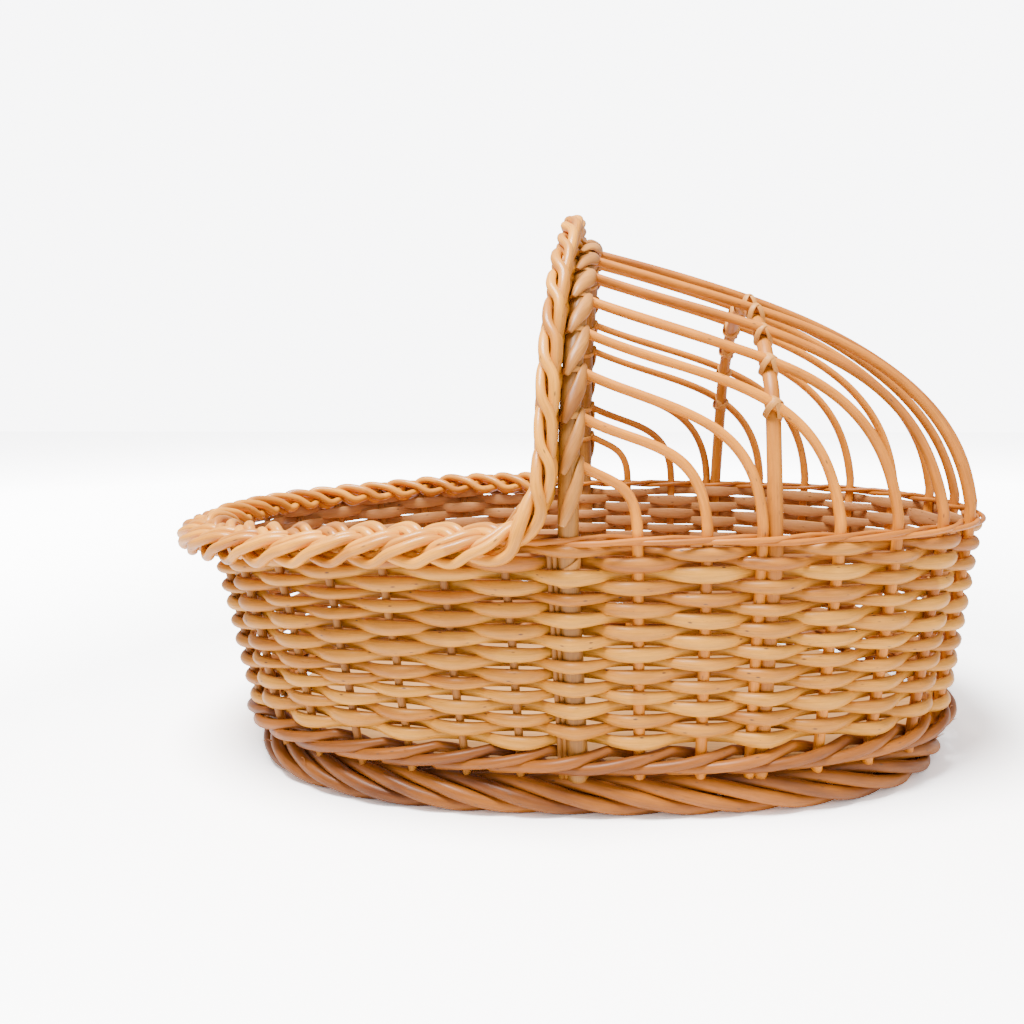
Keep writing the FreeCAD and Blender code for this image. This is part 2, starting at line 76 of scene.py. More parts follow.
# how far each rod's pattern is shifted from the next one's, across and along
grainShift = {"across": 3.1, "along": 17.0}
fullCount = 2 * basket["stakesPerHalf"]
halfStations = basket["stakesPerHalf"] // 2
boardLow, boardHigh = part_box("base_board")
rng = np.random.default_rng(7)
joined = np.concatenate


def unit(v):
    return v / np.maximum(np.linalg.norm(v, axis=-1, keepdims=True), 1e-12)


def runLengths(points):
    # distance along a path, at each of its points
    return joined([[0], np.cumsum(np.linalg.norm(np.diff(points, axis=0), axis=1))])


def pointsAt(places, lengths, points):
    # points of a path at given distances along it
    return np.stack([np.interp(places, lengths, points[:, k]) for k in range(3)], 1)


# ---- where things stand: the oval of the wall at any height

def ovalSizes(z):
    share = (z - basket["weaveStart"]) / (basket["rimHeight"] - basket["weaveStart"])
    sizes = []
    for name in ("Head", "Foot", "HalfWidth"):
        low, high = basket["base" + name], basket["rim" + name]
        sizes.append(low + share * (high - low) - basket["wallInset"])
    head, foot, wide = sizes
    return (head - foot) / 2, (head + foot) / 2, wide


def sag(points):
    # the open foot end has sagged a little: lower the rim and the rows below it
    reach = basket["rimFoot"] - basket["droopFrom"]
    back = np.clip((-points[:, 0] - basket["droopFrom"]) / reach, 0, 1)
    up = np.clip(points[:, 2] / basket["rimHeight"], 0, 1)
    points[:, 2] -= basket["footDroop"] * np.sin(back * math.pi / 2) ** 1.5 * up ** 1.6
    return points


boardMid = (boardLow[2] + boardHigh[2]) * 500
shiftX = (boardLow[0] + boardHigh[0]) * 500 - ovalSizes(boardMid)[0]


def ovalPoint(angle, z, offset=0.0):
    centre, longHalf, wideHalf = ovalSizes(z)
    power = 2 / basket["ovalPower"]
    c, s = np.cos(angle), np.sin(angle)
    x = longHalf * np.sign(c) * np.abs(c) ** power
    y = -wideHalf * np.sign(s) * np.abs(s) ** power
    nx = np.sign(x) * np.abs(x / longHalf) ** (basket["ovalPower"] - 1) / longHalf
    ny = np.sign(y) * np.abs(y / wideHalf) ** (basket["ovalPower"] - 1) / wideHalf
    out = unit(np.stack([nx, ny, np.zeros_like(nx)], -1))
    point = np.stack([centre + x, y, np.zeros_like(x) + z], -1)
    return point + out * np.asarray(offset)[..., None], out


def stationTable():
    # station 0 is the head, halfStations the front hoop, twice that the foot
    angles = np.linspace(0, math.pi, basket["tableSteps"])
    points, _ = ovalPoint(angles, basket["rimHeight"])
    lengths = runLengths(points)
    hoopAt = int(np.argmax(points[:, 0] <= basket["hoopX"]))
    marks = [0, lengths[hoopAt], lengths[-1]]
    return angles, np.interp(lengths, marks, [0, halfStations, 2 * halfStations])


tableAngles, tableStations = stationTable()


def angleAt(station):
    station = np.asarray(station, float) % fullCount
    farSide = station > basket["stakesPerHalf"]
    s = np.where(farSide, fullCount - station, station)
    angle = np.interp(s, tableStations, tableAngles)
    return np.where(farSide, -angle, angle)


def wall(station, z, offset=0.0):
    return ovalPoint(angleAt(station), np.asarray(z, float), offset)


def wallPoint(station, z, offset=0.0):
    return wall(station, z, offset)[0]


def rimPoint(station):
    return wallPoint(float(station), basket["rimHeight"])


stationSpacing = float(np.linalg.norm(rimPoint(4) - rimPoint(5)))


# ---- building meshes: every piece is made of swept rods and strips

def carryFrame(points, upHint=None):
    # directions along a path and a side direction that turns as little as possible
    along = unit(np.gradient(points, axis=0))
    if upHint is not None:
        side = upHint - along * np.sum(upHint * along, axis=1, keepdims=True)
        return along, unit(side)
    side = np.zeros_like(points)
    first = np.array([0.0, 0.0, 1.0])
    if abs(along[0] @ first) > 0.9:
        first = np.array([1.0, 0.0, 0.0])
    side[0] = unit(first - along[0] * (first @ along[0]))
    for i in range(1, len(points)):
        carried = side[i - 1] - along[i] * (side[i - 1] @ along[i])
        side[i] = unit(carried)
    return along, side


def roundSection(count=12):
    turn = np.arange(count) * 2 * math.pi / count
    return np.stack([np.cos(turn), np.sin(turn)], 1)


# flat inside, crowned outside: side direction is outward; the second list says what is pith
halfRoundSection = np.array([
    (-0.5, -0.42), (-0.5, 0.0), (-0.5, 0.42), (-0.36, 0.5), (-0.02, 0.44), (0.26, 0.31),
    (0.44, 0.14), (0.5, 0.0), (0.44, -0.14), (0.26, -0.31), (-0.02, -0.44), (-0.36, -0.5)])
halfRoundPith = np.array([1.0, 1.0, 1.0, 0.7, 0, 0, 0, 0, 0, 0, 0, 0.7])

# a thin split strip with softly rounded edges: side direction is its thickness
flatSection = np.array([
    (-0.5, -0.4), (-0.5, 0.0), (-0.5, 0.4), (-0.2, 0.5), (0.2, 0.5),
    (0.5, 0.4), (0.55, 0.0), (0.5, -0.4), (0.2, -0.5), (-0.2, -0.5)])


def meshPiece(name, verts, faces, grain, tone, inner, material, replaced=()):
    verts = sag(verts.copy())
    verts[:, 2] = np.maximum(verts[:, 2], 0.0)
    verts[:, 0] += shiftX
    mesh = bpy.data.meshes.new(name)
    mesh.from_pydata((verts * basket["mm"]).tolist(), [], faces)
    for label, kind, key, values in (("grainPlace", "FLOAT_VECTOR", "vector", grain),
                                     ("rodTone", "FLOAT", "value", tone),
                                     ("innerFace", "FLOAT", "value", inner)):
        attribute = mesh.attributes.new(label, kind, "POINT")
        attribute.data.foreach_set(key, np.asarray(values, np.float32).ravel())
    mesh.polygons.foreach_set("use_smooth", [len(face) == 4 for face in faces])
    mesh.update()
    piece = bpy.data.objects.new(name, mesh)
    bpy.context.scene.collection.objects.link(piece)
    piece.data.materials.append(material)
    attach(piece, "root")
    if replaced:
        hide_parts(*replaced)
    return piece


def sweep(rods, name, material, replaced=()):
    # one mesh from many rods; each rod is a dictionary with points, scale, section and tone
    allPoints, allFaces, grain, tones, inners = [], [], [], [], []
    start = 0
    for rod in rods:
        points = rod["points"]
        n = len(points)
        closed = rod.get("closed")
        along, side = carryFrame(points, rod.get("up"))
        if closed:
            along = unit(np.roll(points, -1, axis=0) - np.roll(points, 1, axis=0))
            side = unit(rod["up"] - along * np.sum(rod["up"] * along, axis=1, keepdims=True))
        across = np.cross(along, side)
        scale = np.asarray(rod["scale"], float)
        if scale.ndim < 2:
            scale = np.stack([np.broadcast_to(scale, (n,))] * 2, 1)
        section = rod.get("section")
        if section is None:
            section = roundSection(rod.get("sides", 12))
        m = len(section)
        flatShape = scale[:, None, :] * section[None, :, :]
        verts = (points[:, None, :] + side[:, None, :] * flatShape[..., 0:1]
                 + across[:, None, :] * flatShape[..., 1:2])
        offset = rod.get("offset", 0.0)
        own = np.zeros((n, m, 3))
        own[..., 0:2] = flatShape + offset * grainShift["across"]
        own[..., 2] = runLengths(points)[:, None] + offset * grainShift["along"]
        allPoints.append(verts.reshape(-1, 3))
        grain.append(own.reshape(-1, 3))
        tone = np.broadcast_to(np.asarray(rod.get("tone", 0.5), float), (n,))
        tones.append(np.repeat(tone, m))
        inner = rod.get("inner")
        if inner is None:
            inner = np.zeros(m)
        inners.append(np.tile(inner, n))
        ring = np.arange(m)
        nextRing = (ring + 1) % m
        rows = np.arange(n if closed else n - 1)
        here = start + rows[:, None] * m
        ahead = start + ((rows[:, None] + 1) % n) * m
        a, b, c, d = here + ring, here + nextRing, ahead + nextRing, ahead + ring
        allFaces += np.stack([a, d, c, b], -1).reshape(-1, 4).tolist()
        if not closed:
            allFaces.append((start + ring).tolist())
            allFaces.append((start + (n - 1) * m + ring[::-1]).tolist())
        start += n * m
    return meshPiece(name, joined(allPoints), allFaces, joined(grain), joined(tones),
                     joined(inners), material, replaced)


def patchTones(count, pieces):
    # one tone for each natural length joined into a long strip or rod
    joins = np.sort(rng.integers(0, count, pieces))
    levels = rng.uniform(0.05, 0.95, pieces + 1)
    levels[-1] = levels[0]
    return levels[np.searchsorted(joins, np.arange(count))]


def wander(count, step, size):
    # a smooth random line: one value for each of count places
    knots = max(4, int(count / step) + 3)
    values = rng.normal(0, size, knots)
    x = np.linspace(0, knots - 1.001, count)
    i = x.astype(int)
    t = x - i
    t = t * t * (3 - 2 * t)
    return values[i] * (1 - t) + values[np.minimum(i + 1, knots - 1)] * t


def loopWander(count, bumps, size):
    # a smooth random line that closes on itself
    place = np.arange(count) * 2 * math.pi / count
    line = np.zeros(count)
    for k in range(1, bumps + 1):
        line += rng.normal(0, 1) * np.cos(k * place) + rng.normal(0, 1) * np.sin(k * place)
    return line * size / math.sqrt(bumps)


def smoothPath(controls, count, perSpan=24):
    # a smooth line through control points, evenly stepped
    controls = np.asarray(controls, float)
    padded = joined([[2 * controls[0] - controls[1]], controls,
                     [2 * controls[-1] - controls[-2]]])
    fine = []
    for i in range(1, len(padded) - 2):
        p0, p1, p2, p3 = padded[i - 1:i + 3]
        for t in np.linspace(0, 1, perSpan, endpoint=False):
            fine.append(0.5 * (2 * p1 + (p2 - p0) * t + (2 * p0 - 5 * p1 + 4 * p2 - p3) * t * t
                               + (3 * p1 - p0 - 3 * p2 + p3) * t ** 3))
    fine.append(padded[-2])
    fine = np.array(fine)
    lengths = runLengths(fine)
    return pointsAt(np.linspace(0, lengths[-1], count), lengths, fine)


# ---- materials

def addNode(tree, kind, links=None, **settings):
    node = tree.nodes.new(kind)
    for key, value in settings.items():
        setattr(node, key, value)
    for key, value in (links or {}).items():
        socket = node.inputs[key]
        if hasattr(value, "is_output"):
            tree.links.new(value, socket)
        else:
            socket.default_value = value
    return node


def mathNode(tree, operation, a, b=0.0, clamp=False):
    node = addNode(tree, "ShaderNodeMath", {0: a, 1: b}, operation=operation)
    node.use_clamp = clamp
    return node.outputs[0]


def mixColour(tree, factor, a, b, blend="MIX"):
    node = tree.nodes.new("ShaderNodeMix")
    node.data_type = "RGBA"
    node.blend_type = blend
    for socket, value in ((node.inputs[0], factor), (node.inputs[6], a), (node.inputs[7], b)):
        if hasattr(value, "is_output"):
            tree.links.new(value, socket)
        elif isinstance(value, (int, float)):
            socket.default_value = value
        else:
            socket.default_value = (*value[:3], 1)
    return node.outputs[2]


barkPith = (0.5, 0.25, 0.1)
woodPith = (0.6, 0.33, 0.14)
# each pattern: how fine it is across and along a rod, its detail and its roughness
patterns = {
    "fibre": (2.6, 0.07, 4.0, 0.62),
    "drift": (0.16, 0.028, 3.0, 0.5),
    "mottle": (0.55, 0.16, 5.0, 0.6),
}
# each kind of mark: how fine across and along, where it ends in its cell, and its strength
spots = {"knots": (0.34, 0.115, 0.13, 1.0), "specks": (0.8, 0.4, 0.14, 0.6)}
skinLook = {
    "speckColour": (0.11, 0.05, 0.02),
    "driftWeight": 1.3, "darkShare": 0.38,
    "blotches": 0.8,
    "pithRoughness": 0.22,
    "bumpDepth": 0.0003,
    "ior": 1.5, "specular": 0.25,
}


def willowGroup():
    # peeled willow: long fibres, slow colour drift, small dark specks and knots
    tree = bpy.data.node_groups.new("willowSkin", "ShaderNodeTree")
    for way, kind, names in (("INPUT", "NodeSocketColor", ("Light", "Dark", "Pith")),
                             ("INPUT", "NodeSocketFloat", ("Fibre", "Specks", "ToneSpread")),
                             ("OUTPUT", "NodeSocketColor", ("Colour",)),
                             ("OUTPUT", "NodeSocketFloat", ("Roughness", "Height"))):
        for name in names:
            tree.interface.new_socket(name=name, in_out=way, socket_type=kind)
    inside, outside = tree.nodes.new("NodeGroupInput"), tree.nodes.new("NodeGroupOutput")
    place = addNode(tree, "ShaderNodeAttribute", attribute_name="grainPlace").outputs["Vector"]
    tone = addNode(tree, "ShaderNodeAttribute", attribute_name="rodTone").outputs["Fac"]
    inner = addNode(tree, "ShaderNodeAttribute", attribute_name="innerFace").outputs["Fac"]

    def stretched(across, along):
        return addNode(tree, "ShaderNodeMapping", {0: place, 3: (across, across, along)}).outputs[0]

    def noise(across, along, detail, rough):
        return addNode(tree, "ShaderNodeTexNoise", {
            "Vector": stretched(across, along), "Scale": 1.0, "Detail": detail, "Roughness": rough,
        }).outputs["Fac"]

    def spotted(across, along, edge, strength):
        # round marks, each in its own cell
        cells = addNode(tree, "ShaderNodeTexVoronoi", {"Vector": stretched(across, along), "Scale": 1.0})
        return remap(cells.outputs["Distance"], 0.06, edge, strength, 0.0)

    def remap(value, low, high, lowTo, highTo):
        return addNode(tree, "ShaderNodeMapRange",
                       {0: value, 1: low, 2: high, 3: lowTo, 4: highTo}).outputs[0]

    def grey(value):
        return addNode(tree, "ShaderNodeCombineColor", {0: value, 1: value, 2: value}).outputs[0]

    def times(a, b, clamp=False):
        return mathNode(tree, "MULTIPLY", a, b, clamp)

    def plus(a, b, clamp=False):
        return mathNode(tree, "ADD", a, b, clamp)

    def fromMiddle(value):
        return mathNode(tree, "SUBTRACT", value, 0.5)

    # patterns, all stretched along the rod
    fibre, drift, mottle = (noise(*patterns[key]) for key in ("fibre", "drift", "mottle"))
    fewSmall = times(spotted(*spots["specks"]), remap(drift, 0.5, 0.6, 0.0, 1.0))
    specks = mathNode(tree, "MAXIMUM", spotted(*spots["knots"]), fewSmall)
    specks = times(specks, inside.outputs["Specks"], True)

    # base colour between light and dark, the pith on split faces, then streaks, blotches and specks
    spread = times(fromMiddle(tone), inside.outputs["ToneSpread"])
    drifted = times(fromMiddle(drift), skinLook["driftWeight"])
    mixed = plus(plus(spread, drifted), skinLook["darkShare"], True)
    colour = mixColour(tree, mixed, inside.outputs["Light"], inside.outputs["Dark"])
    pithShare = times(inner, remap(mottle, 0.3, 0.6, 0.75, 1.0))
    colour = mixColour(tree, pithShare, colour, inside.outputs["Pith"])
    streaked = mixColour(tree, 1.0, colour, grey(remap(fibre, 0.3, 0.72, 0.66, 1.22)), "MULTIPLY")
    colour = mixColour(tree, inside.outputs["Fibre"], colour, streaked)
    blotched = grey(remap(mottle, 0.28, 0.7, 0.86, 1.1))
    colour = mixColour(tree, skinLook["blotches"], colour, blotched, "MULTIPLY")
    colour = mixColour(tree, specks, colour, skinLook["speckColour"])
    rough = plus(remap(fibre, 0.3, 0.7, 0.36, 0.52), times(inner, skinLook["pithRoughness"]))
    height = mathNode(tree, "SUBTRACT", plus(times(fibre, 0.7), times(mottle, 0.5)), times(specks, 0.5))
    for name, value in (("Colour", colour), ("Roughness", rough), ("Height", height)):
        tree.links.new(value, outside.inputs[name])
    return tree


willowSkin = willowGroup()


def willowMaterial(name, light, dark, fibre, specks, spread, pith=barkPith, bump=0.35,
                   coat=0.0, coatRough=0.25):
    material = bpy.data.materials.new(name)
    material.use_nodes = True
    tree = material.node_tree
    shader = tree.nodes["Principled BSDF"]
    skin = tree.nodes.new("ShaderNodeGroup")
    skin.node_tree = willowSkin
    for key, value in (("Light", (*light, 1)), ("Dark", (*dark, 1)), ("Pith", (*pith, 1)),
                       ("Fibre", fibre), ("Specks", specks), ("ToneSpread", spread)):
        skin.inputs[key].default_value = value
    tree.links.new(skin.outputs["Colour"], shader.inputs["Base Color"])
    tree.links.new(skin.outputs["Roughness"], shader.inputs["Roughness"])
    bumpNode = addNode(tree, "ShaderNodeBump", {"Strength": bump, "Distance": skinLook["bumpDepth"],
                                                "Height": skin.outputs["Height"]})
    tree.links.new(bumpNode.outputs[0], shader.inputs["Normal"])
    shader.inputs["IOR"].default_value = skinLook["ior"]
    shader.inputs["Coat Weight"].default_value = coat
    shader.inputs["Coat Roughness"].default_value = coatRough
    shader.inputs["Specular IOR Level"].default_value = skinLook["specular"]
    return material


# bark side from light to dark, the pith of split faces, and how strong each pattern is
finishes = {
    "wall": willowMaterial(
        "wallWillow", light=(0.65, 0.272, 0.022), dark=(0.37, 0.112, 0.008), pith=(0.42, 0.18, 0.06),
        fibre=0.62, specks=1.0, spread=0.9, coat=0.12),
    "foot": willowMaterial(
        "footWillow", light=(0.38, 0.118, 0.01), dark=(0.13, 0.034, 0.005),
        fibre=0.5, specks=0.8, spread=0.9, coat=0.1),
    "stake": willowMaterial(
        "stakeWillow", light=(0.44, 0.17, 0.026), dark=(0.22, 0.075, 0.012),
        fibre=0.6, specks=0.4, spread=0.6),
    "hood": willowMaterial(
        "hoodWillow", light=(0.72, 0.238, 0.008), dark=(0.33, 0.088, 0.005),
        fibre=0.62, specks=0.8, spread=0.9, coat=0.1),
    "hoop": willowMaterial(
        "hoopWillow", light=(0.38, 0.155, 0.024), dark=(0.18, 0.07, 0.012),
        fibre=0.7, specks=0.4, spread=0.5, coat=0.1),
    "rib": willowMaterial(
        "ribWillow", light=(0.55, 0.185, 0.009), dark=(0.29, 0.082, 0.006),
        fibre=0.5, specks=0.4, spread=0.4, coat=0.1),
    "skein": willowMaterial(
        "splitWillow", light=(0.63, 0.27, 0.05), dark=(0.4, 0.145, 0.022), pith=woodPith,
        fibre=0.6, specks=0.2, spread=0.5, bump=0.5),
    "turndown": willowMaterial(
        "turndownWillow", light=(0.53, 0.212, 0.034), dark=(0.22, 0.068, 0.01),
        fibre=0.5, specks=0.3, spread=0.8, coat=0.1),
    "wale": willowMaterial(
        "waleWillow", light=(0.55, 0.165, 0.006), dark=(0.22, 0.058, 0.005),
        fibre=0.5, specks=0.5, spread=0.7, coat=0.1),
    "braid": willowMaterial(
        "braidWillow", light=(0.79, 0.305, 0.012), dark=(0.36, 0.104, 0.005), pith=woodPith,
        fibre=0.7, specks=0.8, spread=1.0, coat=0.3, coatRough=0.16),
    "board": willowMaterial(
        "boardWood", light=(0.56, 0.3, 0.11), dark=(0.4, 0.18, 0.055), pith=woodPith,
        fibre=0.8, specks=0.15, spread=0.5, bump=0.5),
}


# ---- the woven wall

weave = {
    "rows": 18,
    "samplesPerStake": 12,
    "thickness": 2.5,
    "height": 5.9,          # over a stake
    "pinchedHeight": 4.5,   # where two rows cross between stakes
    "clearance": 0.45,
    "stakeRadius": 1.75,
    "hoodStakeRadius": 1.95,
    "hoopRadius": 4.1,
    "ribRadius": 3.1,
    "ribStation": 6,
    "kink": 0.45, "kinkPower": 0.8,
    "rowWaver": 0.36, "rowBumps": 9,    # how much a row wanders up and down, and how often
    "rowShift": 0.12, "rowChange": 0.04,
    "reachChange": 0.03,
    "unevenness": 0.09,
    "edgeThickness": 0.84, "crownThickness": 0.26,
}


def uprightRadius(k):
    k = min(k % fullCount, fullCount - k % fullCount)
    if k == halfStations:
        return weave["hoopRadius"]
    if k == weave["ribStation"]:
        return weave["ribRadius"] + 0.2
    return weave["hoodStakeRadius"] if k < halfStations else weave["stakeRadius"]


uprightRadii = np.array([uprightRadius(k) for k in range(fullCount)])


def radiusBetween(station):
    low = np.floor(station).astype(int)
    t = station - low
    return uprightRadii[low % fullCount] * (1 - t) + uprightRadii[(low + 1) % fullCount] * t


def weaverRow(row):
    pitch = (basket["rimHeight"] - basket["weaveStart"]) / weave["rows"]
    middle = basket["weaveStart"] + (row + 0.5) * pitch
    per = weave["samplesPerStake"]
    count = fullCount * per
    station = np.arange(count) / per
    reach = uprightRadii + weave["clearance"] + weave["thickness"] / 2
    reach = reach * (1 + rng.normal(0, weave["reachChange"], fullCount))
    first = np.floor(station).astype(int)
    t = station - first
    amount = reach[first % fullCount] * (1 - t) + reach[(first + 1) % fullCount] * t
    phase = np.cos(math.pi * (station + row))
    bent = np.sign(phase) * np.abs(phase) ** weave["kinkPower"]
    wave = (1 - weave["kink"]) * phase + weave["kink"] * bent
    points, out = wall(station, middle)
    points = points + out * (amount * wave)[:, None]
    points[:, 2] = (middle + loopWander(count, weave["rowBumps"], weave["rowWaver"])
                    + rng.normal(0, weave["rowShift"]))
    over = np.abs(phase)
    tall = weave["pinchedHeight"] + (weave["height"] - weave["pinchedHeight"]) * over ** 1.2
    change = np.repeat(rng.normal(0, weave["unevenness"], fullCount // 2), 2 * per)
    change = joined([change[-per:], change, change[:per]])
    tall = tall * (1 + np.convolve(change, np.ones(2 * per + 1) / (2 * per + 1), "valid"))
    tall = tall * (1 + rng.normal(0, weave["rowChange"]))
    thick = weave["thickness"] * (weave["edgeThickness"] + weave["crownThickness"] * over)
    return {"points": points, "up": out, "closed": True, "scale": np.stack([thick, tall], 1),
            "section": halfRoundSection, "inner": halfRoundPith,
            "tone": patchTones(count, 4 + int(rng.integers(0, 3))), "offset": row + 1.3}


print("basket: weaving the wall")
for row in range(weave["rows"]):
    name = "weaver_%02d" % (row + 1)
    sweep([weaverRow(row)], "woven_" + name, finishes["wall"], [name])


# ---- the foot: rolled border, waling and floor

foot = {
    "rodRadius": 2.9,
    "turnPerStake": 75.0,
    "rodStations": 4.3,
    "rodSamples": 64,
    "firstTurn": 150.0, "turnChange": 3,
    "thinnest": 0.94, "thickest": 1.02, "taper": 0.9,
    "rollSlack": 1.01,
    "sideInset": 0.2, "endInset": 4.8,
    "seat": 1.2,            # how deep an upright stands in the border
    "flat": 0.4,
    "waleRadius": 2.2,
    "waleRise": 3.6,
    "boardInset": 7.4,
    "boardEdge": 0.8,
    "boardSteps": 144,
    "plankWidth": 29,
    "fibres": 26,
    "fibreLow": 10, "fibreHigh": 26,
    "fibreShort": 4, "fibreLong": 11,
    "fibreRoot": 0.32, "fibreTip": 0.08,
}
rollRadius = (foot["rodRadius"] * foot["rollSlack"]
              / math.sin(math.radians(foot["turnPerStake"]) / 2))
borderMiddle = rollRadius + foot["rodRadius"] - foot["flat"]
borderOuter = rollRadius + foot["rodRadius"]
waleStart = borderMiddle + borderOuter + 0.4


def borderInset(out):
    return foot["sideInset"] + (foot["endInset"] - foot["sideInset"]) * out[..., 0] ** 2


def stakeFoot(station):
    # height of the lower end of an upright, inside the rolled border
    inset = borderInset(wall(np.array([float(station)]), borderMiddle)[1])[0]
    return borderMiddle + math.sqrt(max(0.0, borderOuter ** 2 - inset ** 2)) - foot["seat"]


def borderRod(k):
    count = foot["rodSamples"]
    s = np.linspace(k - foot["rodStations"], k, count)
    points, out = wall(s, borderMiddle)
    turn = np.radians(foot["firstTurn"] - foot["turnPerStake"] * (k - s)
                      + rng.normal(0, foot["turnChange"]))
    across = rollRadius * np.cos(turn) - borderInset(out)
    points = points + out * across[:, None]
    points[:, 2] += rollRadius * np.sin(turn)
    radius = foot["rodRadius"] * rng.uniform(foot["thinnest"], foot["thickest"])
    radius = radius * np.linspace(foot["taper"], 1.0, count)
    radius = radius * (1 + wander(count, 9, 0.03))
    tone = np.clip(rng.uniform(0, 1) + wander(count, 12, 0.12), 0, 1)
    return {"points": points, "scale": radius, "sides": 14, "tone": tone, "offset": k * 1.9}


waleShape = {"perCycle": 3.0, "behindHalf": 0.5, "outerStep": 0.55}


def waleRod(start, first, last, lowZ, radius, rise, clearance, count):
    # in front of two stakes, rising, then down behind one
    cycle, half = waleShape["perCycle"], waleShape["behindHalf"]
    s = np.linspace(first, last, count)
    phase = (start - s) % cycle
    inner = radiusBetween(s) + clearance + radius
    wrapped = np.where(phase > cycle - half, phase - cycle, phase)
    behind = wrapped < half
    ahead = (wrapped - half) / 2
    height = np.where(behind, rise * (1 - 2 * wrapped), rise * 2 * ahead)
    outer = inner + radius * waleShape["outerStep"] * ahead
    side = np.where(behind, -inner * np.cos(math.pi * wrapped), outer * np.sin(math.pi * ahead))
    points, out = wall(s, lowZ + radius + height)
    points = points + out * (side + wander(count, 20, 0.12))[:, None]
    points[:, 2] += wander(count, 30, 0.15)
    scale = radius * (1 + wander(count, 25, 0.04))
    tone = np.clip(patchTones(count, 5) * 0.7 + 0.15 + wander(count, 60, 0.1), 0, 1)
    return {"points": points, "scale": scale, "sides": 12, "tone": tone, "offset": start * 5.3}


def footFibres():
    # torn ends of skin that stand off the foot here and there
    rods = []
    for n in range(foot["fibres"]):
        station = rng.uniform(0, fullCount)
        start, out = wall(np.array([station]), rng.uniform(foot["fibreLow"], foot["fibreHigh"]))
        start, out = start[0] + out[0] * rng.uniform(3.0, 4.6), out[0]
        along = np.array([-out[1], out[0], 0.0]) * rng.choice([-1, 1])
        length = rng.uniform(foot["fibreShort"], foot["fibreLong"])
        bend = np.array([0, 0, rng.uniform(-0.5, 0.35)])
        controls = [start, start + (along + out * 0.15) * length * 0.4,
                    start + (along * 0.9 + out * 0.35 + bend) * length]
        points = smoothPath(controls, 12)
        rods.append({"points": points, "sides": 6,
                     "scale": np.linspace(foot["fibreRoot"], foot["fibreTip"], len(points)),
                     "tone": rng.uniform(0.1, 0.6), "offset": n * 0.7})
    return rods


def floorBoard():
    # oval board, its edges eased top and bottom, with grain along its length
    low, high = boardLow[2] * 1000, boardHigh[2] * 1000
    edge, n = foot["boardEdge"], foot["boardSteps"]
    stations = np.linspace(0, fullCount, n, endpoint=False)
    verts, faces = [], []
    profile = [(edge, low), (edge * 0.3, low + edge * 0.3), (0.0, low + edge),
               (0.0, high - edge), (edge * 0.3, high - edge * 0.3), (edge, high)]
    for inset, z in profile:
        verts.append(wallPoint(stations, low, np.full(n, -foot["boardInset"] - inset)))
        verts[-1][:, 2] = z
    for ring in range(len(profile) - 1):
        for i in range(n):
            j = (i + 1) % n
            faces.append((ring * n + i, (ring + 1) * n + i, (ring + 1) * n + j, ring * n + j))
    top = (len(profile) - 1) * n
    faces.append(tuple(range(n)))
    faces.append(tuple(range(top + n - 1, top - 1, -1)))
    verts = joined(verts)
    grain = verts[:, [1, 2, 0]] * np.array([0.6, 1.0, 0.5])
    plank = np.floor((verts[:, 1] + 200) / foot["plankWidth"])
    tone = 0.3 + 0.4 * ((plank * 0.618) % 1)
    return meshPiece("floor_board", verts, faces, grain, tone, np.zeros(len(verts)),
                     finishes["board"], ["base_board"])


print("basket: rolling the foot")
sweep([borderRod(k) for k in range(fullCount)], "foot_rolled_border",
      finishes["foot"], ["foot_border"])
footWale = [waleRod(n, 0.0, fullCount - 0.03, waleStart, foot["waleRadius"], foot["waleRise"],
                    clearance=0.4, count=1100) for n in range(3)]
sweep(footWale, "foot_waling", finishes["foot"], ["foot_wale"])
sweep(footFibres(), "foot_loose_fibres", finishes["foot"])
floorBoard()


# ---- uprights

upright = {"footTop": 109.0, "sideRadius": 1.2}


def straightLeg(station, low, high, count=24):
    return wallPoint(np.full(count, float(station)), np.linspace(low, high, count))


def stakeRods():
    rods = []
    for k in range(halfStations + 1, fullCount - halfStations):
        points = straightLeg(k, stakeFoot(k), upright["footTop"])
        points[:, 0] += wander(len(points), 6, 0.25)
        radius = weave["stakeRadius"] * rng.uniform(0.9, 1.05)
        rods.append({"points": points, "scale": radius, "tone": rng.uniform(0, 1), "offset": k * 1.7})
    return rods


def sideRods():
    # thin rods packed in beside the near leg of the front hoop
    rods = []
    for n in range(2):
        beside = weave["hoopRadius"] + upright["sideRadius"] * (2 * n + 1) + 0.1
        station = halfStations + beside / stationSpacing
        points = straightLeg(station, stakeFoot(station), basket["rimHeight"] + 2)
        rods.append({"points": points, "scale": upright["sideRadius"], "tone": 0.2 + 0.5 * n,
                     "offset": n + 3.1})
    return rods


sweep(stakeRods(), "wall_stakes", finishes["stake"], ["stakes"])
sweep(sideRods(), "hoop_side_rods", finishes["stake"], ["side_rods"])


# ---- the hood: front hoop, rib hoop and long rods

hood = {
    "archPower": 2.0,
    "archLean": 9.5,
    "baseLift": 8.0,
    "braidHalfWidth": 10.4,
    "hoopDrop": 8.0,
    "tuck": 5.0,
    "seat": 0.3,
    "hoopOutset": 1.5, "ribAhead": 1.5,
    "rodSamples": 170, "hoopSamples": 420, "ribSamples": 320,
    "endShare": 0.26,       # of one pitch, left below the last rod
    "handle": 0.42,         # how far a rod keeps its direction, as a share of its reach
    "fall": 13.0, "fallStep": 2.1,      # slope at the hoop in degrees: the top rod, and more for each next
    "rise": 0.295, "riseStep": 0.036,   # how far a rod climbs straight up from the wall
    "turndownWidth": 6.4, "turndownThick": 2.6,
    "turndownTip": 2.0, "turndownTipThick": 1.1,
    "turndownSamples": 48,
    "skeinWidth": 2.6, "skeinThick": 0.6,
    "lashLean": 0.85, "lashSamples": 40,
}


